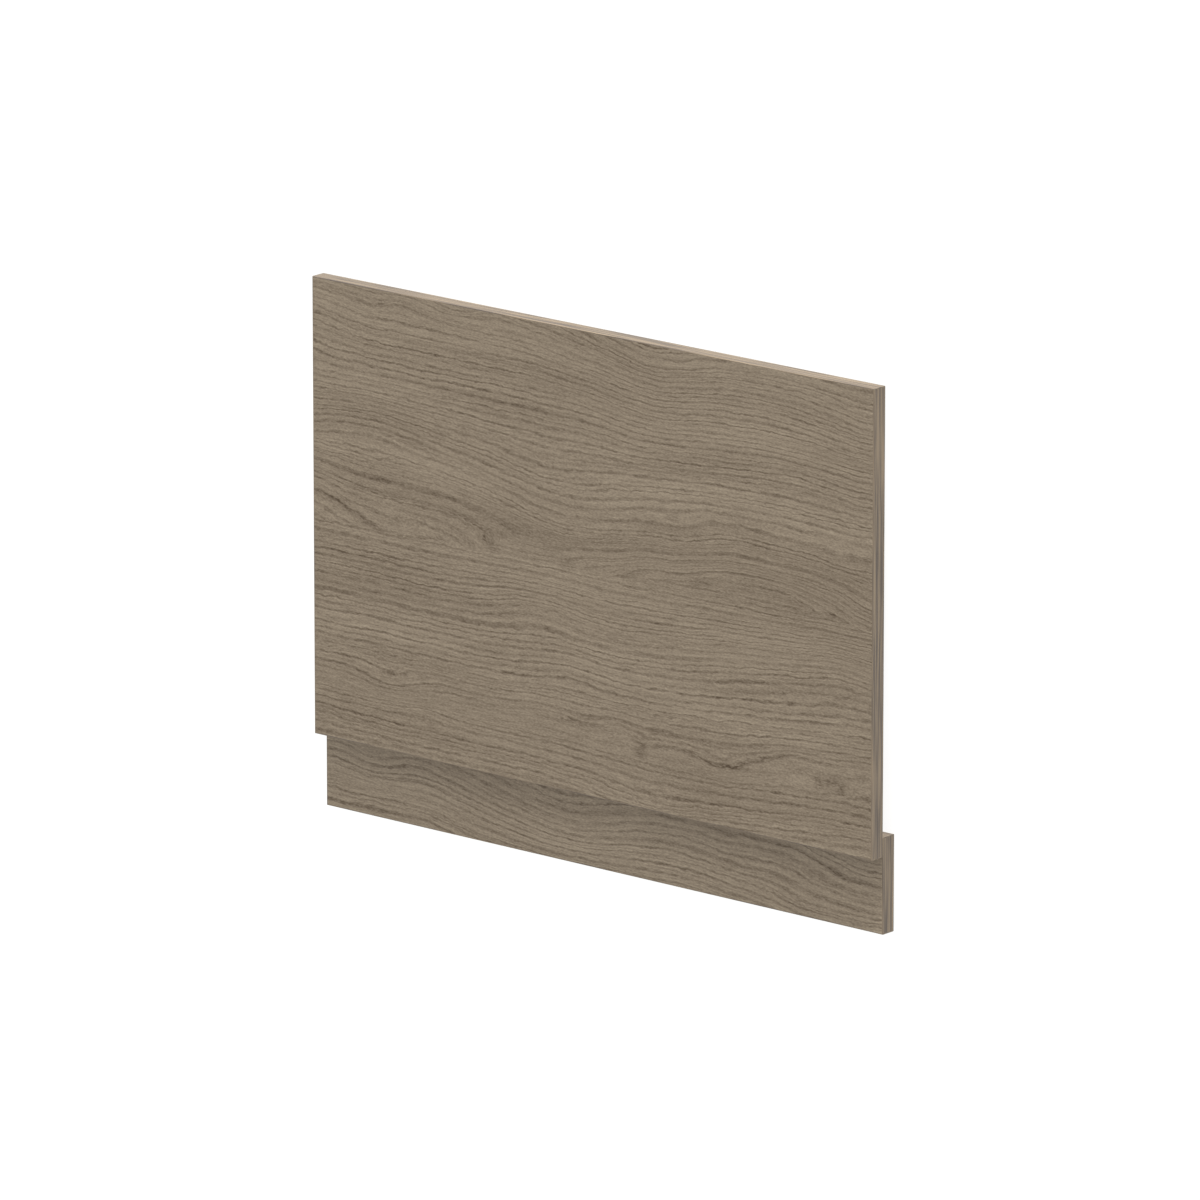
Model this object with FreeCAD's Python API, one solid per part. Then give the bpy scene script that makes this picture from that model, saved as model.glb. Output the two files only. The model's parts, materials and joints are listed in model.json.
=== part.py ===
import FreeCAD, Part
import math
import os

# Bath end panel: a wide face board with a plinth board screwed behind its lower edge.
# Both are cut from one thickness of decor-faced board and lipped on all four edges.

# Driving sizes, millimetres and degrees
panel_width = 730.0            # both boards, along the end of the bath
panel_height = 480.0           # face board, from its own lower edge to the rim of the bath
plinth_height = 100.0
plinth_overlap = 20.0          # how far the plinth stands up behind the face board
board_thickness = 18.0
band_thickness = 1.0           # edge band glued to each cut edge
arris_radius = 0.8             # scraped round along both faces of every band
screw_count = 4
screw_end_distance = 65.0      # first and last screw, from the ends of the plinth
screw_hole_diameter = 4.5
countersink_diameter = 9.0
countersink_angle = 90.0

# Places in the board axes: X along the bath, Y up the panel, Z out of its face.
# The zero is the middle of the face board's lower front edge.
half_width = panel_width / 2.0
panel_bottom = 0.0
plinth_top = panel_bottom + plinth_overlap
plinth_bottom = plinth_top - plinth_height
panel_back = -board_thickness
plinth_back = panel_back - board_thickness
screw_line = (panel_bottom + plinth_top) / 2.0

# The assembly lies face up. It rests on the plinth's upper back arris and on the
# face board's top back arris, so the face falls gently towards its top edge.
panel_top = panel_bottom + panel_height
rest_tilt = math.atan2(panel_back - plinth_back, panel_top - plinth_top)


def rounded_board(bottom, height, back):
    """A board with an arris round along the outline of its front and its back."""
    corner = FreeCAD.Vector(-half_width, bottom, back)
    block = Part.makeBox(panel_width, height, board_thickness, corner)
    outline = [edge for edge in block.Edges if edge.BoundBox.ZLength < board_thickness / 2.0]
    return block.makeFillet(arris_radius, outline)


def lipped_pieces(name, board, bottom, height, back):
    """Split a board into its core and four bands; the long bands run over the short ones."""
    inner_width = panel_width - 2.0 * band_thickness
    inner_height = height - 2.0 * band_thickness
    inner_bottom = bottom + band_thickness
    inner_top = inner_bottom + inner_height
    inner_right = half_width - band_thickness
    zones = {
        name: (-inner_right, inner_bottom, inner_width, inner_height),
        name + "_top_band": (-half_width, inner_top, panel_width, band_thickness),
        name + "_bottom_band": (-half_width, bottom, panel_width, band_thickness),
        name + "_left_band": (-half_width, inner_bottom, band_thickness, inner_height),
        name + "_right_band": (inner_right, inner_bottom, band_thickness, inner_height),
    }
    pieces = {}
    for piece_name, (left, low, across, up) in zones.items():
        corner = FreeCAD.Vector(left, low, back)
        zone = Part.makeBox(across, up, board_thickness, corner)
        pieces[piece_name] = board.common(zone).Solids[0]
    return pieces


def countersunk_hole(x):
    """Clearance hole through the plinth with a countersink in its back face."""
    into_plinth = FreeCAD.Vector(0.0, 0.0, 1.0)
    mouth = FreeCAD.Vector(x, screw_line, plinth_back)
    hole_radius = screw_hole_diameter / 2.0
    mouth_radius = countersink_diameter / 2.0
    sink_depth = (mouth_radius - hole_radius) / math.tan(math.radians(countersink_angle / 2.0))
    bore = Part.makeCylinder(hole_radius, board_thickness, mouth, into_plinth)
    sink = Part.makeCone(mouth_radius, hole_radius, sink_depth, mouth, into_plinth)
    return bore.fuse(sink)


def screw_places():
    first = -half_width + screw_end_distance
    pitch = (panel_width - 2.0 * screw_end_distance) / (screw_count - 1)
    return [first + index * pitch for index in range(screw_count)]


def rest_placement():
    """Turn the board axes to the lying pose, centred over the floor area and touching it."""
    sine = math.sin(rest_tilt)
    cosine = math.cos(rest_tilt)
    arris_y = panel_top - arris_radius
    arris_z = panel_back + arris_radius
    lift = arris_y * sine - arris_z * cosine + arris_radius
    middle_y = ((panel_top + plinth_bottom) * cosine + plinth_back * sine) / 2.0
    turn = FreeCAD.Rotation(FreeCAD.Vector(1.0, 0.0, 0.0), -math.degrees(rest_tilt))
    return FreeCAD.Placement(FreeCAD.Vector(0.0, -middle_y, lift), turn)


# Face board
panel_board = rounded_board(panel_bottom, panel_height, panel_back)
pieces = lipped_pieces("main_panel", panel_board, panel_bottom, panel_height, panel_back)

# Plinth, drilled for its screws
plinth_board = rounded_board(plinth_bottom, plinth_height, plinth_back)
plinth_board = plinth_board.cut([countersunk_hole(x) for x in screw_places()])
pieces.update(lipped_pieces("plinth", plinth_board, plinth_bottom, plinth_height, plinth_back))

os.makedirs("parts", exist_ok=True)
to_rest = rest_placement().toMatrix()
for node, solid in pieces.items():
    solid.transformed(to_rest, True).exportStep(os.path.join("parts", node + ".step"))
    print(node, round(solid.Volume, 1), "mm3")
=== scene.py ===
import json
import math

import bpy
from mathutils import Matrix, Vector


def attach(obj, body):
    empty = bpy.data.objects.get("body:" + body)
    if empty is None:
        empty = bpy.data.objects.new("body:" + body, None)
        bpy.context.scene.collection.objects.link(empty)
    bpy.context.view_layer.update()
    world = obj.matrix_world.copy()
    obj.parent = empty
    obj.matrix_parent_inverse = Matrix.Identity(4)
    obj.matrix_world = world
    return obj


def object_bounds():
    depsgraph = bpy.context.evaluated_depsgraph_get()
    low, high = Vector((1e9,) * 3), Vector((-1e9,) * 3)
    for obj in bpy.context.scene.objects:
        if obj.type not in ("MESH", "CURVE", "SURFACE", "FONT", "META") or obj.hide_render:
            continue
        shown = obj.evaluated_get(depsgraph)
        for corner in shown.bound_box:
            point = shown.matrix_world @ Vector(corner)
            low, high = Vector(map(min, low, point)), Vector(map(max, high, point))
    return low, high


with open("model.json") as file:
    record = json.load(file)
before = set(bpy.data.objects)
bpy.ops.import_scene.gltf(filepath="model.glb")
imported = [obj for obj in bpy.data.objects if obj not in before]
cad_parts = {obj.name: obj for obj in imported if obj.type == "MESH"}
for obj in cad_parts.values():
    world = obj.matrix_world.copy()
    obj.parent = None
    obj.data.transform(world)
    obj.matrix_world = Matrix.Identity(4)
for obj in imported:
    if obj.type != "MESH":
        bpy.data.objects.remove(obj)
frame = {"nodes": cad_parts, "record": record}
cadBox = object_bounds()
mm = 0.001
print("frame loaded:", len(frame["nodes"]), "nodes")

# The panel lies face up on its plinth, a little tilted. Its own axes come from the
# record's mounts: boardUp towards the rim of the bath, faceOut out of the front.
mounts = {mount["name"]: mount for mount in frame["record"]["mounts"]}
boardUp = Vector(mounts["rim_edge"]["axis"]).normalized()
faceOut = -Vector(mounts["plinth_back"]["axis"]).normalized()
boardAlong = boardUp.cross(faceOut)
restTilt = math.atan2(-boardUp.z, boardUp.y)
panelNodes = [name for name in frame["nodes"] if name.startswith("main_panel")]
plinthNodes = [name for name in frame["nodes"] if name.startswith("plinth")]


def reach(axis, names):
    places = [v.co.dot(axis) for name in names for v in frame["nodes"][name].data.vertices]
    return min(places), max(places)


panelBottom = reach(boardUp, panelNodes)[0]
panelBack, panelFront = reach(faceOut, panelNodes)
plinthBack, plinthFront = reach(faceOut, plinthNodes)
boardZero = boardUp * panelBottom + faceOut * panelFront  # middle of the panel's lower front edge

# Camera, matched to the edges in the photograph with the panel's own up as picture up
photoCamera = {
    "yaw": 40.03,               # degrees round the panel to its right
    "pitch": 15.01,             # degrees above its middle line
    "lens": 397.8,              # mm, on the sensor below
    "sensor": 36.0,
    "away": (11.7, 196.8, 13306.6),  # mm right of, above and back from boardZero
}


def makeCamera(look):
    yaw = math.radians(look["yaw"])
    pitch = math.radians(look["pitch"])
    back = boardAlong * math.sin(yaw) * math.cos(pitch) + boardUp * math.sin(pitch)
    back += faceOut * math.cos(yaw) * math.cos(pitch)
    right = boardAlong * math.cos(yaw) - faceOut * math.sin(yaw)
    up = back.cross(right)
    toRight, toTop, toBack = look["away"]
    place = boardZero + (right * toRight + up * toTop + back * toBack) * mm
    bpy.ops.object.select_all(action="DESELECT")
    bpy.ops.object.camera_add()
    camera = bpy.context.object
    camera.name = "photoCamera"
    camera.data.sensor_width = look["sensor"]
    camera.data.lens = look["lens"]
    turn = Matrix((right, up, back)).transposed().to_4x4()
    camera.matrix_world = Matrix.Translation(place) @ turn
    bpy.context.scene.camera = camera


makeCamera(photoCamera)
print("camera placed")


def linear(hexColour):
    channels = [int(hexColour[i:i + 2], 16) / 255 for i in (1, 3, 5)]
    return [c / 12.92 if c <= 0.04045 else ((c + 0.055) / 1.055) ** 2.4 for c in channels] + [1.0]


def addNode(tree, kind, inputs, out=0, **settings):
    node = tree.nodes.new("ShaderNode" + kind)
    for name, value in settings.items():
        setattr(node, name, value)
    for socket, value in inputs.items():
        if isinstance(value, bpy.types.NodeSocket):
            tree.links.new(value, node.inputs[socket])
        else:
            node.inputs[socket].default_value = value
    return node.outputs[out] if node.outputs else node


def newMaterial(name):
    material = bpy.data.materials.new(name)
    material.use_nodes = True
    material.node_tree.nodes.clear()
    return material, material.node_tree


def dress(names, material):
    for name in names:
        node = frame["nodes"][name]
        node.data.materials.clear()
        node.data.materials.append(material)


# Studio: a white table lit from below, even white surroundings, and two soft lights from
# beyond the top edge, one higher up and one low along the table, a little from the right
studio = {
    "floorSize": 60.0,          # m
    "floorColour": "#7c7c7a",   # opal acrylic, so the glow below outshines any shadow
    "floorGlow": 0.9,
    "floorRoughness": 0.9,
    "surroundings": 0.87,
    "high": {"strength": 1.0, "spread": 25.0, "elevation": 20.0, "bearing": 0.0},
    "low": {"strength": 3.48, "spread": 3.0, "elevation": 1.3, "bearing": 5.5},
}


def makeFloor(look):
    bpy.ops.object.select_all(action="DESELECT")
    bpy.ops.mesh.primitive_plane_add(size=look["floorSize"], location=(0, 0, cadBox[0].z))
    floor = bpy.context.object
    floor.name = "studioFloor"
    bpy.ops.object.transform_apply(location=True)
    material, tree = newMaterial("opalAcrylicTable")
    colour = linear(look["floorColour"])
    shader = addNode(tree, "BsdfPrincipled", {
        "Base Color": colour, "Roughness": look["floorRoughness"], "Specular IOR Level": 0.0,
        "Emission Color": (1, 1, 1, 1), "Emission Strength": look["floorGlow"]})
    addNode(tree, "OutputMaterial", {"Surface": shader})
    floor.data.materials.append(material)


def makeSun(name, look):
    bpy.ops.object.select_all(action="DESELECT")
    bpy.ops.object.light_add(type="SUN")
    sun = bpy.context.object
    sun.name = name
    sun.data.energy = look["strength"]
    sun.data.angle = math.radians(look["spread"])
    rise = math.radians(look["elevation"])
    bearing = math.radians(look["bearing"])  # from beyond the top edge towards the right
    level = math.cos(rise)
    toSun = Vector((level * math.sin(bearing), level * math.cos(bearing), math.sin(rise)))
    sun.rotation_mode = "QUATERNION"
    sun.rotation_quaternion = toSun.to_track_quat("Z", "Y")


def makeStudio(look):
    makeFloor(look)
    world = bpy.data.worlds.new("whiteSurroundings")
    bpy.context.scene.world = world
    world.use_nodes = True
    world.node_tree.nodes["Background"].inputs["Color"].default_value = (1, 1, 1, 1)
    world.node_tree.nodes["Background"].inputs["Strength"].default_value = look["surroundings"]
    makeSun("highSoftLight", look["high"])
    makeSun("lowSoftLight", look["low"])
    bpy.context.scene.view_settings.view_transform = "Standard"


makeStudio(studio)
print("studio lit")


def boardPoint(tree):
    # Object coordinates turned to the board's axes, in millimetres from boardZero
    zero = [-axis.dot(boardZero) / mm for axis in (boardAlong, boardUp, faceOut)]
    place = addNode(tree, "TexCoord", {}, out="Object")
    return addNode(tree, "Mapping", {
        "Vector": place, "Location": zero, "Rotation": (restTilt, 0, 0), "Scale": (1 / mm,) * 3})


def swellSum(tree, point, swells, start=0.0):
    # Each swell adds its rise round one place and fades smoothly away from it. The sum is
    # carried along as the third part of the point, because a long material holds few values.
    walk = addNode(tree, "VectorMath", {
        0: point, 1: (1, 1, 0), 2: (0, 0, start)}, operation="MULTIPLY_ADD")
    for along, up, reachAlong, reachUp, rise in swells:
        near = addNode(tree, "VectorMath", {
            0: walk, 1: (1 / reachAlong, 1 / reachUp, 0), 2: (-along / reachAlong, -up / reachUp, 0)},
            operation="MULTIPLY_ADD")
        square = addNode(tree, "VectorMath", {0: near, 1: near}, out="Value", operation="DOT_PRODUCT")
        fade = addNode(tree, "Math", {0: math.exp(-1), 1: square}, operation="POWER")
        walk = addNode(tree, "VectorMath", {
            0: fade, 1: (0, 0, rise), 2: walk}, operation="MULTIPLY_ADD")
    return addNode(tree, "SeparateXYZ", {0: walk}, out="Z")


throughBoard = 5.0              # mm, size of the noise through the board
offLattice = (0.5, 0.4, 0.6)    # turns the noise, so that its cells don't line up with the board
noiseMiddle = 0.5               # the value that the noise swings about


def streaks(tree, point, size, shift=0.0, detail=1.0):
    # Soft noise drawn out along the grain; size is one streak's length and height in mm
    length, height = size
    spot = addNode(tree, "Mapping", {
        "Vector": point, "Scale": (1 / length, 1 / height, 1 / throughBoard),
        "Location": (shift, -shift, shift), "Rotation": offLattice})
    return addNode(tree, "TexNoise", {"Vector": spot, "Scale": 1.0, "Detail": detail})


# Printed oak decor on melamine-faced board: matt grey-brown, with dark broken ring lines and
# fine pressed-in pores. Pores and the finest flecks are drawn coarser than real, to show.
# Sizes are millimetres on the board; a swell is (along, up, reach along, reach up, rise).
# Rings below the heart are counted from a zero of their own, belowHeart higher.
belowHeart = 400.0
everywhere = 2000.0             # a reach longer than the board
panelDecor = {
    "heart": 230.0,             # height at which the upper figure's arches end
    "heartRise": [(-80, 0, 45, everywhere, 27), (205, 0, 105, everywhere, 30)],
    "upper": [
        (-15, 268, 115, 62, -29), (-105, 226, 75, 24, -32), (-260, 224, 75, 24, -20),
        (-65, 330, 85, 36, -9), (75, 248, 40, 18, 10), (215, 250, 100, 22, 26),
        (-305, 336, 90, 28, 14), (115, 280, 45, 30, -8), (260, 300, 80, 18, -6),
        (135, 297, 45, 18, -4), (5, 246, 28, 9, 5), (260, 374, 70, 25, 6),
        (325, 298, 30, 14, -5), (375, 262, 55, 40, -18), (-375, 275, 50, 40, 12),
        (-375, 330, 60, 40, -4), (-375, 445, 55, 45, 13), (80, 470, 65, 100, -20),
        (200, 490, 240, 75, -22), (350, 435, 65, 62, -14), (380, 445, 45, 35, -8),
        (-165, 478, 35, 20, -6), (-125, 482, 40, 14, 6), (-245, 470, 30, 14, 6),
        (-15, 450, 30, 22, -5)],
    "lower": [
        (330, 172, 195, 42, 31), (330, 105, 220, 40, 13), (-65, 182, 60, 28, 13),
        (-30, 125, 50, 25, 8), (320, 196, 40, 25, 9), (370, 130, 60, 30, 4),
        (-265, 72, 40, 18, -12), (-60, 80, 40, 18, 5), (40, 84, 26, 14, 5),
        (76, 66, 14, 12, -4), (172, 64, 34, 16, -8), (270, 85, 45, 20, 10),
        (370, 85, 60, 22, 14), (120, 30, 130, 26, -7), (80, 4, 90, 16, -10),
        (340, 20, 70, 25, 7), (-350, 28, 60, 18, 6), (-225, 48, 40, 8, 5)],
    "calm": [                   # broad rings, where the even lines fade
        (-60, 248, 240, 30, 0.6), (-85, 272, 60, 22, 0.3), (-65, 352, 60, 3.5, 0.4),
        (-215, 450, 160, 26, 0.55), (-60, 335, 220, 40, 0.15),
        (330, 145 - belowHeart, 120, 30, 0.15), (0, 247 - belowHeart, everywhere, 15, 0.5),
        (190, 216 - belowHeart, 80, 3, 0.5), (20, 277, 80, 3, 0.4),
        (0, 62 - belowHeart, everywhere, 14, 0.75)],
    "bold": [                   # single dark ring lines
        (-265, 462.5, 110, 1.2, 0.9), (-220, 449.5, 130, 1.3, 0.8), (-250, 438.5, 110, 0.9, 0.6),
        (-310, 435.5, 45, 1.0, 0.6), (-150, 435, 100, 1.0, 0.6), (-240, 424, 70, 1.2, 0.8),
        (-240, 319, 90, 1.2, 0.5), (-215, 286, 70, 0.8, 0.4), (-75, 286, 45, 0.7, 0.5),
        (85, 286, 40, 0.8, 0.5), (-280, 268.5, 40, 0.9, 1.0), (-222, 268.5, 14, 2.0, 0.7),
        (-170, 268.5, 25, 0.9, 0.8), (-138, 268.5, 16, 0.8, 0.7), (150, 269, 210, 1.1, 0.6),
        (-5, 269, 18, 1.0, 0.5), (270, 286, 60, 1.0, 0.6), (215, 301, 40, 1.0, 0.6),
        (-340, 249.5, 50, 1.3, 0.6), (140, 249, 130, 1.3, 0.5), (-360, 228, 40, 1.4, 0.5),
        (258, 238 - belowHeart, 18, 1.3, 0.6), (292, 234 - belowHeart, 18, 1.3, 0.6),
        (-270, 198 - belowHeart, 150, 1.2, 0.6), (60, 168 - belowHeart, 170, 1.2, 0.4),
        (-265, 80 - belowHeart, 80, 1.2, 0.35), (60, 79 - belowHeart, 130, 1.2, 0.7),
        (150, 69 - belowHeart, 90, 1.5, 1.0), (285, 69 - belowHeart, 70, 1.3, 0.7),
        (-300, 103 - belowHeart, 110, 1.5, 0.5)],
    "shades": [                 # soft pale and deep bands
        (-320, 460, 130, 45, 0.07), (280, 265, 160, 35, -0.08), (-270, 200, 170, 60, -0.07),
        (30, 150, 200, 50, 0.04), (-330, 25, 190, 40, -0.12), (370, 90, 70, 40, -0.1),
        (130, 20, 200, 40, -0.05)],
    "smudges": [                # dark places that don't follow the rings
        (68, 59, 7, 9, 0.9), (-14, 74.5, 30, 2.6, 0.9), (312, 71.5, 17, 3, 1.0),
        (298, 66, 6, 5, 0.7), (327, 66, 4, 5, 0.8), (315, 64, 10, 2.5, 0.4),
        (185, 64.5, 28, 3, 0.8), (-90, 263, 25, 4, 0.3), (-328, 253, 12, 2.5, 0.5),
        (315, 242, 12, 4, 0.5), (-290, 235, 16, 4, 0.4), (145, 245, 14, 9, 0.3),
        (-30, 236, 9, 9, 0.35), (240, 255, 30, 2, 0.5), (-128, 234, 7, 6, 0.45)],
    "frontDepth": (panelFront - panelBack) / 2 / mm,  # deeper than this is the straight-grained back
    "wider": 1.0,               # times the ring spacing
    "tone": 0.6,
    "seed": 3.0,
}
plinthDecor = {
    "heart": -200.0,            # below the board, so it has the upper figure alone
    "heartRise": [],
    "upper": [
        (-300, 0, 110, everywhere, 16), (-300, -25, 35, 25, -8), (-225, 0, 45, everywhere, 6),
        (-375, 0, 40, everywhere, 6), (-45, -28, 80, 32, -19), (-45, -62, 80, 20, -7),
        (340, 0, 110, everywhere, -24), (175, -40, 40, 60, -5), (255, -14, 85, 22, 9),
        (255, -70, 45, 18, -8)],
    "lower": [],
    "calm": [
        (-280, -64, 120, 13, 0.6), (320, -15, 60, 4, 0.5), (300, -42, 60, 4, 0.4)],
    "bold": [
        (-255, -48, 100, 1.2, 0.9), (-250, -64.5, 130, 1.2, 0.6), (-320, -76.5, 70, 1.3, 0.9),
        (-190, -78.5, 60, 1.2, 0.7), (-300, -87, 70, 1.0, 0.5), (-300, -90.5, 60, 1.0, 0.6),
        (-290, -33.5, 60, 1.1, 0.5), (-60, -20, 70, 1.2, 0.6), (-60, -12, 60, 1.2, 0.5),
        (-80, -4, 70, 1.2, 0.5), (260, -10, 90, 1.5, 1.0), (340, -10, 50, 1.2, 0.6),
        (310, -20, 60, 1.2, 0.7), (195, -28, 40, 1.3, 0.7), (90, -36, 50, 1.2, 0.5),
        (320, -36, 60, 1.2, 0.7), (310, -47, 70, 1.2, 0.6), (100, -53, 80, 1.1, 0.4),
        (80, -64, 70, 1.1, 0.4)],
    "shades": [],
    "smudges": [],
    "frontDepth": (panelFront - plinthBack + panelFront - plinthFront) / 2 / mm,
    "wider": 1.15,
    "tone": 0.62,
    "seed": 11.0,
}
oak = {
    "rings": [                  # profile: mm from the dark line's middle, and how dark it is there
        {"spacing": 6.9, "tone": 0.41, "seed": 0.0,
         "profile": [(3.3, 0.0), (2.0, -0.38), (1.45, 0.0), (0.9, 0.42), (0.45, 0.86), (0.0, 1.0)]},
        {"spacing": 4.4, "tone": 0.16, "seed": 6.0,
         "profile": [(2.1, 0.0), (1.6, -0.38), (1.2, 0.0), (0.75, 0.42), (0.4, 0.86), (0.0, 1.0)]}],
    "waves": [                  # a wave's length and height, and how far it bends the grain
        ((140, 70), 5.0), ((40, 16), 4.5), ((12, 5), 3.6), ((5, 2.5), 1.6)],
    "ragged": 2.5,              # how much further the waves carry the line where two figures meet
    "spread": (20.0, 1.6),      # rings crowd and part over this many mm, by this many rings
    "fading": [                 # along a ring: streak, its detail, noise from and to, faintest
        ((80, 0.14), 1.0, 0.30, 0.65, 0.45), ((11, 0.27), 4.0, 0.34, 0.62, 0.40)],
    "fleck": ((6.0, 1.2), 9.0, 0.35, 0.60, 0.20),  # streak, its place, noise from and to, faintest
    "fibreBend": 0.5,           # share of the swells that flecks and fibres follow
    "boldTone": 0.45,
    "drifts": [                 # streak's length and height, how far it moves the tone, its place
        ((3, 1.0), 0.8, 9.0), ((20, 1.8), 0.42, 4.0), ((110, 11), 0.15, 6.0), ((260, 45), 0.3, 2.0)],
    "groundTone": 0.6,
    "line": "#473620",
    "ground": "#827461",
    "pale": "#9d8f7a",
    "relief": 0.5,
    "reliefDepth": 0.05,
    "roughness": 0.58,
    "ior": 1.5,
}


def bentGrain(tree, point, look):
    # the height up the board, bent by small waves and by the swells
    along, up, depth = addNode(tree, "SeparateXYZ", {0: point}).node.outputs
    onFront = addNode(tree, "Math", {0: depth, 1: -look["frontDepth"]}, operation="GREATER_THAN")
    wavy = up
    for size, rise in oak["waves"]:
        wave = streaks(tree, point, size, look["seed"])
        wave = addNode(tree, "Math", {0: wave, 1: noiseMiddle}, operation="SUBTRACT")
        wavy = addNode(tree, "Math", {0: wave, 1: rise, 2: wavy}, operation="MULTIPLY_ADD")

    # the two figures meet along a ragged line
    strayed = addNode(tree, "Math", {0: wavy, 1: up}, operation="SUBTRACT")
    ragged = addNode(tree, "Math", {0: strayed, 1: oak["ragged"], 2: up}, operation="MULTIPLY_ADD")
    heart = swellSum(tree, point, look["heartRise"], look["heart"])
    aboveHeart = addNode(tree, "Math", {0: ragged, 1: heart}, operation="GREATER_THAN")
    upperLift = swellSum(tree, point, look["upper"])
    lowerLift = swellSum(tree, point, look["lower"], belowHeart)
    lift = addNode(tree, "Mix", {0: aboveHeart, 2: lowerLift, 3: upperLift}, data_type="FLOAT")
    lift = addNode(tree, "Math", {0: lift, 1: onFront}, operation="MULTIPLY")
    height = addNode(tree, "Math", {0: wavy, 1: lift}, operation="SUBTRACT")
    bent = addNode(tree, "Math", {0: lift, 1: -oak["fibreBend"], 2: up}, operation="MULTIPLY_ADD")
    ringPoint = addNode(tree, "CombineXYZ", {0: along, 1: height, 2: depth})
    fibrePoint = addNode(tree, "CombineXYZ", {0: along, 1: bent, 2: depth})
    return ringPoint, fibrePoint, onFront


def ringLines(tree, ringPoint, ring, look):
    # a dark line in the middle of each ring, with a pale rim on both sides of it
    along, height = addNode(tree, "SeparateXYZ", {0: ringPoint}).node.outputs[:2]
    seed = look["seed"]
    spacing = ring["spacing"] * look["wider"]
    span, moved = oak["spread"]
    halfRing = 0.5
    midGrey = 0.5               # stands for the ground between the lines
    spread = addNode(tree, "Math", {0: height, 1: 1 / span, 2: ring["seed"]}, operation="MULTIPLY_ADD")
    spread = addNode(tree, "TexNoise", {"W": spread, "Scale": 1.0, "Detail": 1.0}, noise_dimensions="1D")
    rings = addNode(tree, "Math", {0: height, 1: 1 / spacing}, operation="MULTIPLY")
    rings = addNode(tree, "Math", {0: spread, 1: moved, 2: rings}, operation="MULTIPLY_ADD")
    ringNumber = addNode(tree, "Math", {0: rings}, operation="FLOOR")
    fromLine = addNode(tree, "Math", {0: rings, 1: halfRing}, operation="PINGPONG")
    shade = addNode(tree, "ValToRGB", {0: fromLine})
    stops = shade.node.color_ramp.elements
    for more in ring["profile"][2:]:  # a new ramp has two stops
        stops.new(halfRing)
    for stop, (place, dark) in zip(stops, ring["profile"]):
        stop.position = halfRing - place / ring["spacing"]
        grey = midGrey + (1 - midGrey) * dark
        stop.color = (grey, grey, grey, 1)
    line = addNode(tree, "MapRange", {0: shade, 1: midGrey, 2: 1.0, 3: 0.0, 4: 1.0}, clamp=False)

    # every ring has its own strength, which comes and goes along the grain in dashes
    ownPoint = addNode(tree, "CombineXYZ", {0: along, 1: ringNumber, 2: seed + ring["seed"]})
    for size, detail, low, high, faintest in oak["fading"]:
        share = streaks(tree, ownPoint, size, seed, detail)
        share = addNode(tree, "MapRange", {0: share, 1: low, 2: high, 3: faintest, 4: 1.0})
        line = addNode(tree, "Math", {0: line, 1: share}, operation="MULTIPLY")
    return line


def boardDecor(name, look):
    material, tree = newMaterial(name)
    point = boardPoint(tree)
    ringPoint, fibrePoint, onFront = bentGrain(tree, point, look)
    tone = swellSum(tree, point, look["shades"], look["tone"])
    calm = swellSum(tree, ringPoint, look["calm"])
    lively = addNode(tree, "Math", {0: 1.0, 1: calm}, operation="SUBTRACT")
    for ring in oak["rings"]:
        line = ringLines(tree, ringPoint, ring, look)
        line = addNode(tree, "Math", {0: line, 1: lively}, operation="MULTIPLY")
        tone = addNode(tree, "Math", {0: line, 1: -ring["tone"], 2: tone}, operation="MULTIPLY_ADD")

    # bold rings and smudges are made of short dashes too
    size, shift, low, high, faintest = oak["fleck"]
    fleck = streaks(tree, fibrePoint, size, shift)
    broken = addNode(tree, "MapRange", {0: fleck, 1: low, 2: high, 3: faintest, 4: 1.0})
    bold = addNode(tree, "Math", {
        0: swellSum(tree, ringPoint, look["bold"]), 1: swellSum(tree, point, look["smudges"])})
    bold = addNode(tree, "Math", {0: bold, 1: onFront}, operation="MULTIPLY")
    bold = addNode(tree, "Math", {0: bold, 1: broken}, operation="MULTIPLY")
    tone = addNode(tree, "Math", {0: bold, 1: -oak["boldTone"], 2: tone}, operation="MULTIPLY_ADD")

    # flecks and fibres move the tone both ways, and it drifts slowly over the board
    for size, amount, shift in oak["drifts"]:
        swing = streaks(tree, fibrePoint, size, shift)
        swing = addNode(tree, "Math", {0: swing, 1: noiseMiddle}, operation="SUBTRACT")
        tone = addNode(tree, "Math", {0: swing, 1: amount, 2: tone}, operation="MULTIPLY_ADD")
    colour = addNode(tree, "ValToRGB", {0: tone})
    stops = colour.node.color_ramp.elements
    stops.new(oak["groundTone"])
    tones = ((0.0, oak["line"]), (oak["groundTone"], oak["ground"]), (1.0, oak["pale"]))
    for stop, (place, hexColour) in zip(stops, tones):
        stop.position = place
        stop.color = linear(hexColour)

    # the press plate follows the print: pores are sunk a few hundredths of a millimetre
    relief = addNode(tree, "Bump", {
        "Strength": oak["relief"], "Distance": oak["reliefDepth"] * mm, "Height": tone})
    shader = addNode(tree, "BsdfPrincipled", {
        "Base Color": colour, "Roughness": oak["roughness"], "IOR": oak["ior"], "Normal": relief})
    addNode(tree, "OutputMaterial", {"Surface": shader})
    return material


dress(["main_panel"], boardDecor("oakDecorMelaminePanel", panelDecor))
dress(["plinth"], boardDecor("oakDecorMelaminePlinth", plinthDecor))
print("board decor done")

# Printed ABS edge band, glued on and scraped flush: matt, with streaks along each edge
bandLook = {
    "streaks": [((120, 2.6), 4.0), ((45, 0.9), 1.7)],  # mm along and across the band, contrast
    "detail": 2.0,
    "tone": 0.5,                # from deep at 0 to pale at 1
    "pale": "#857560",
    "deep": "#564c43",
    "relief": 0.3,
    "reliefDepth": 0.05,
    "roughness": 0.55,
    "ior": 1.5,
}


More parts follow.
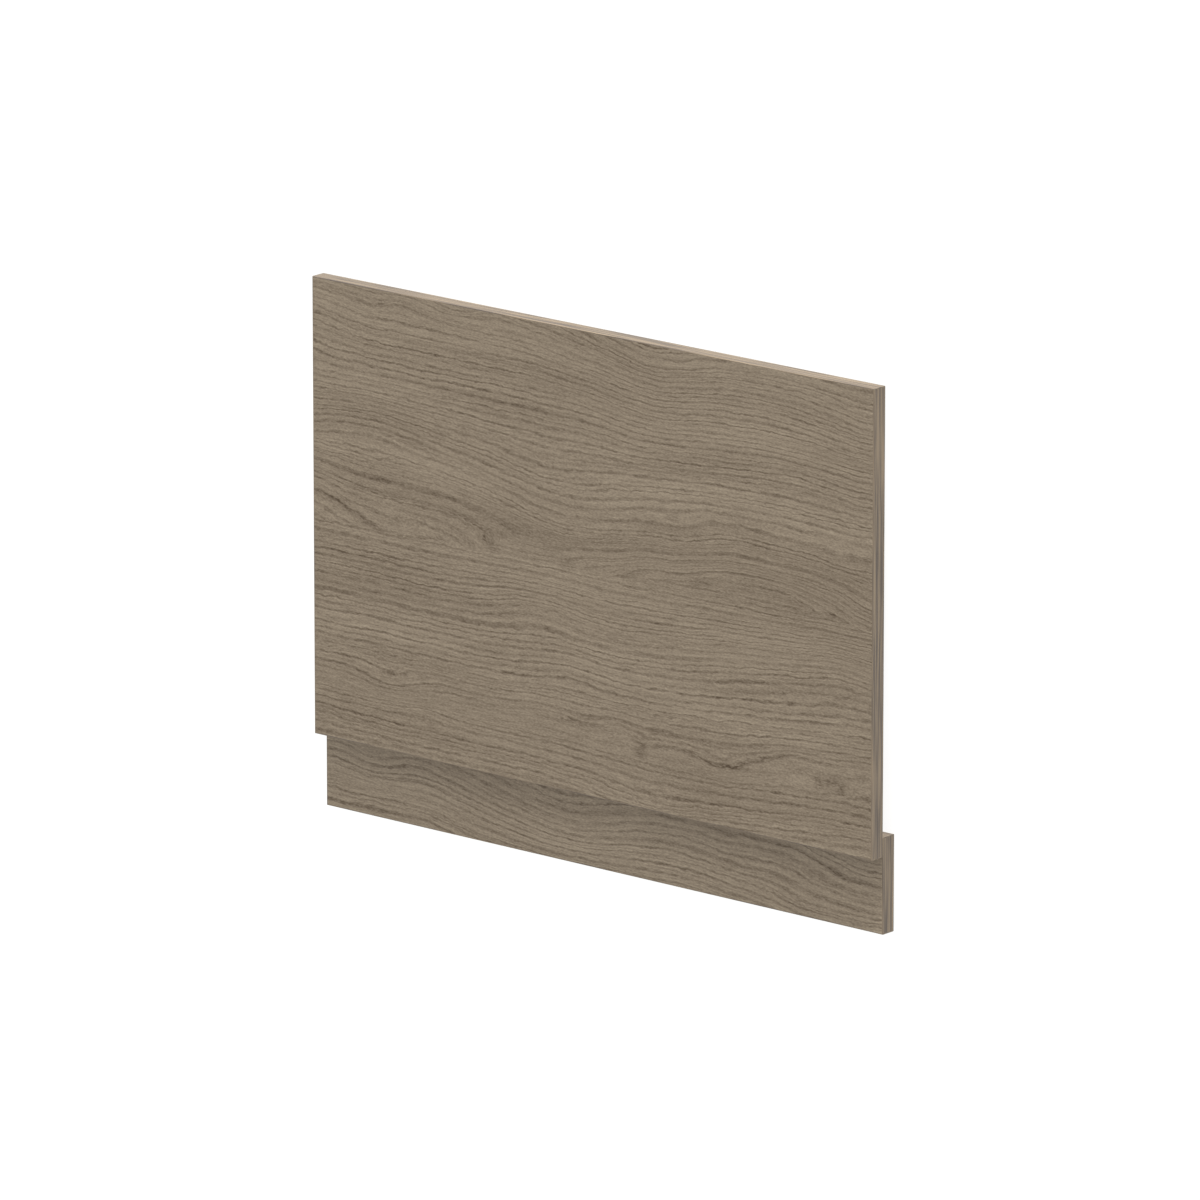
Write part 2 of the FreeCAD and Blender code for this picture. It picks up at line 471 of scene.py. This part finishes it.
def edgeBand(name, look, alongUp):
    material, tree = newMaterial(name)
    point = boardPoint(tree)
    tone = look["tone"]
    for (length, width), contrast in look["streaks"]:
        scale = (1, 1 / length, 1 / width) if alongUp else (1 / length, 1, 1 / width)
        spot = addNode(tree, "Mapping", {"Vector": point, "Scale": scale})
        noise = addNode(tree, "TexNoise", {"Vector": spot, "Scale": 1.0, "Detail": look["detail"]})
        swing = addNode(tree, "Math", {0: noise, 1: noiseMiddle}, operation="SUBTRACT")
        tone = addNode(tree, "Math", {0: swing, 1: contrast, 2: tone}, operation="MULTIPLY_ADD")
    colour = addNode(tree, "Mix", {0: tone, 6: linear(look["deep"]), 7: linear(look["pale"])},
                     out=2, data_type="RGBA")
    relief = addNode(tree, "Bump", {
        "Strength": look["relief"], "Distance": look["reliefDepth"] * mm, "Height": tone})
    shader = addNode(tree, "BsdfPrincipled", {
        "Base Color": colour, "Roughness": look["roughness"], "IOR": look["ior"], "Normal": relief})
    addNode(tree, "OutputMaterial", {"Surface": shader})
    return material


levelBand = edgeBand("absEdgeBandLevel", bandLook, False)
uprightBand = edgeBand("absEdgeBandUpright", bandLook, True)
bands = [name for name in frame["nodes"] if name.endswith("_band")]
dress([name for name in bands if name.endswith(("_top_band", "_bottom_band"))], levelBand)
dress([name for name in bands if name.endswith(("_left_band", "_right_band"))], uprightBand)
print("edge bands done")

# Zinc-plated countersunk screws, driven from the back of the plinth into the panel
screwLook = {                   # millimetres, apart from counts, shares and degrees
    "headDiameter": 8.0,
    "headRim": 0.35,
    "rimRound": 0.15,
    "rimSteps": 3,
    "neckDiameter": 2.9,
    "length": 30.0,
    "pointLength": 5.0,
    "pointShare": 0.05,
    "sides": 40,
    "crossReach": 5.9,          # of the cutter, which is half outside the head
    "crossWidth": 1.4,
    "crossDepth": 2.1,
    "crossTaper": 0.55,
    "threadDiameter": 4.0,
    "threadPitch": 1.8,
    "threadSize": 0.5,
    "threadStart": 9.0,
    "threadTurns": 8,
    "threadSteps": 20,
    "turns": (12, 57, -24, 35),  # degrees, how far round each one stopped
    "smoothAngle": 35.0,        # degrees, past which an edge stays sharp
    "mouthLeast": 2.0,          # least radius of a countersink's mouth
    "flatWithin": 0.01,         # how near the plinth's back a point counts as on it
    "pale": "#c3c6c8",
    "deep": "#8f9497",
    "spot": 0.9,                # zinc's cloudy bloom
    "spotDetail": 3.0,
    "spotRange": (0.3, 0.7),
    "roughness": (0.42, 0.26),  # in the deep and in the pale spots
}


def startEdit(name):
    piece = bpy.context.object
    piece.name = name
    bpy.ops.object.mode_set(mode="EDIT")
    return piece


def endEdit():
    bpy.ops.mesh.select_all(action="SELECT")
    bpy.ops.mesh.normals_make_consistent(inside=False)
    bpy.ops.object.mode_set(mode="OBJECT")


def pullUp(rise, share=1.0):
    # extrude the selected face along the screw and scale it about the axis
    bpy.ops.mesh.extrude_region_move(TRANSFORM_OT_translate={"value": (0, 0, rise * mm)})
    bpy.ops.transform.resize(value=(share, share, 1), center_override=(0, 0, 0))


def modelShank(look):
    # the head's flat lies at the origin and the point is up
    headRadius = look["headDiameter"] / 2
    neckRadius = look["neckDiameter"] / 2
    cone = headRadius - neckRadius  # a right-angled head is as deep as it is wide
    bpy.ops.object.select_all(action="DESELECT")
    bpy.ops.mesh.primitive_circle_add(vertices=look["sides"], radius=headRadius * mm, fill_type="NGON")
    shank = startEdit("plinth_screw_1")
    pullUp(look["headRim"])
    pullUp(cone, neckRadius / headRadius)
    pullUp(look["length"] - look["headRim"] - cone - look["pointLength"])
    pullUp(look["pointLength"], look["pointShare"])
    endEdit()
    low = look["headRim"] / 2 * mm
    for face in shank.data.polygons:
        face.select = False
    for vertex in shank.data.vertices:
        vertex.select = False
    for edge in shank.data.edges:  # the head's outer edge
        edge.select = all(shank.data.vertices[i].co.z < low for i in edge.vertices)
    bpy.ops.object.mode_set(mode="EDIT")
    bpy.ops.mesh.select_mode(type="EDGE")
    bpy.ops.mesh.bevel(offset=look["rimRound"] * mm, segments=look["rimSteps"], affect="EDGES")
    endEdit()
    return shank


def modelCross(look):
    # two tapered blades that leave the cross recess
    bpy.ops.object.select_all(action="DESELECT")
    bpy.ops.mesh.primitive_cube_add(size=1.0)
    cross = startEdit("crossCutter")
    size = (look["crossReach"] * mm, look["crossWidth"] * mm, 2 * look["crossDepth"] * mm)
    bpy.ops.transform.resize(value=size, center_override=(0, 0, 0))
    bpy.ops.mesh.select_mode(type="FACE")
    bpy.ops.mesh.select_all(action="DESELECT")
    bpy.ops.object.mode_set(mode="OBJECT")
    nearlyUp = 0.9
    for face in cross.data.polygons:
        face.select = face.normal.z > nearlyUp
    bpy.ops.object.mode_set(mode="EDIT")
    taper = look["crossTaper"]
    bpy.ops.transform.resize(value=(taper, taper, 1), center_override=(0, 0, 0))
    bpy.ops.mesh.select_all(action="SELECT")
    bpy.ops.mesh.duplicate()
    bpy.ops.transform.rotate(value=math.pi / 2, orient_axis="Z", center_override=(0, 0, 0))
    endEdit()
    return cross


def modelThread(look):
    # a three-sided ridge wound up the shank, its root sunk into it
    bpy.ops.object.select_all(action="DESELECT")
    bpy.ops.mesh.primitive_circle_add(vertices=3, radius=look["threadSize"] * mm, fill_type="NOTHING")
    thread = startEdit("threadRidge")
    for axis in ("X", "Y"):     # stands the triangle up with its crest outwards
        bpy.ops.transform.rotate(value=math.pi / 2, orient_axis=axis, center_override=(0, 0, 0))
    out = look["threadDiameter"] / 2 - look["threadSize"]
    bpy.ops.transform.translate(value=(out * mm, 0, look["threadStart"] * mm))
    bpy.ops.object.mode_set(mode="OBJECT")
    winding = thread.modifiers.new("winding", "SCREW")
    winding.screw_offset = look["threadPitch"] * mm
    winding.iterations = look["threadTurns"]
    winding.steps = look["threadSteps"]
    winding.render_steps = look["threadSteps"]
    bpy.ops.object.modifier_apply(modifier=winding.name)
    bpy.ops.object.mode_set(mode="EDIT")
    bpy.ops.mesh.select_all(action="SELECT")
    bpy.ops.mesh.fill_holes(sides=3)
    endEdit()
    return thread


def joinInto(piece, other, operation):
    bpy.ops.object.select_all(action="DESELECT")
    bpy.context.view_layer.objects.active = piece
    piece.select_set(True)
    cut = piece.modifiers.new("cut", "BOOLEAN")
    cut.operation = operation
    cut.solver = "EXACT"
    cut.use_self = True
    cut.object = other
    bpy.ops.object.modifier_apply(modifier=cut.name)
    bpy.data.objects.remove(other)


def screwMouths():
    # rings of points on the plinth's back, where the countersinks open
    points = [v.co for v in frame["nodes"]["plinth"].data.vertices]
    nearBack = plinthBack + screwLook["flatWithin"] * mm
    onBack = [(p.dot(boardAlong), p.dot(boardUp)) for p in points if p.dot(faceOut) < nearBack]
    groups = []
    for place in sorted(onBack):
        if groups and place[0] - groups[-1][-1][0] < screwLook["headDiameter"] * mm:
            groups[-1].append(place)
        else:
            groups.append([place])
    mouths = []
    for group in groups:
        alongs = [place[0] for place in group]
        ups = [place[1] for place in group]
        radius = (max(alongs) - min(alongs)) / 2
        if radius > screwLook["mouthLeast"] * mm:
            mouths.append(((max(alongs) + min(alongs)) / 2, (max(ups) + min(ups)) / 2, radius))
    return mouths


def zincPlate(look):
    # electroplated zinc on steel: silvery, a little cloudy, with a soft gleam
    material, tree = newMaterial("zincPlatedSteel")
    place = addNode(tree, "TexCoord", {}, out="Object")
    spot = addNode(tree, "Mapping", {"Vector": place, "Scale": (1 / (look["spot"] * mm),) * 3})
    bloom = addNode(tree, "TexNoise", {"Vector": spot, "Scale": 1.0, "Detail": look["spotDetail"]})
    colour = addNode(tree, "Mix", {0: bloom, 6: linear(look["deep"]), 7: linear(look["pale"])},
                     out=2, data_type="RGBA")
    low, high = look["spotRange"]
    dullest, brightest = look["roughness"]
    dull = addNode(tree, "MapRange", {0: bloom, 1: low, 2: high, 3: dullest, 4: brightest})
    shader = addNode(tree, "BsdfPrincipled", {
        "Base Color": colour, "Roughness": dull, "Metallic": 1.0})
    addNode(tree, "OutputMaterial", {"Surface": shader})
    return material


def driveScrews(look):
    screw = modelShank(look)
    joinInto(screw, modelCross(look), "DIFFERENCE")
    joinInto(screw, modelThread(look), "UNION")
    bpy.ops.object.shade_smooth_by_angle(angle=math.radians(look["smoothAngle"]))
    screw.data.materials.clear()
    screw.data.materials.append(zincPlate(look))
    turned = Matrix((boardAlong, boardUp, faceOut)).transposed().to_4x4()
    screws = [screw]
    for number in range(2, len(screwMouths()) + 1):
        bpy.ops.object.select_all(action="DESELECT")
        bpy.context.view_layer.objects.active = screw
        screw.select_set(True)
        bpy.ops.object.duplicate(linked=False)
        bpy.context.object.name = "plinth_screw_%d" % number
        screws.append(bpy.context.object)
    for piece, (along, up, mouth), turn in zip(screws, screwMouths(), look["turns"]):
        sunk = plinthBack + mouth - look["headDiameter"] / 2 * mm  # where the head's cone seats
        place = boardAlong * along + boardUp * up + faceOut * sunk
        spin = Matrix.Rotation(math.radians(turn), 4, "Z")
        piece.matrix_world = Matrix.Translation(place) @ turned @ spin
        bpy.ops.object.select_all(action="DESELECT")
        bpy.context.view_layer.objects.active = piece
        piece.select_set(True)
        bpy.ops.object.transform_apply(location=True, rotation=True, scale=True)
        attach(piece, "root")
    return screws


screws = driveScrews(screwLook)
print("screws driven:", len(screws))
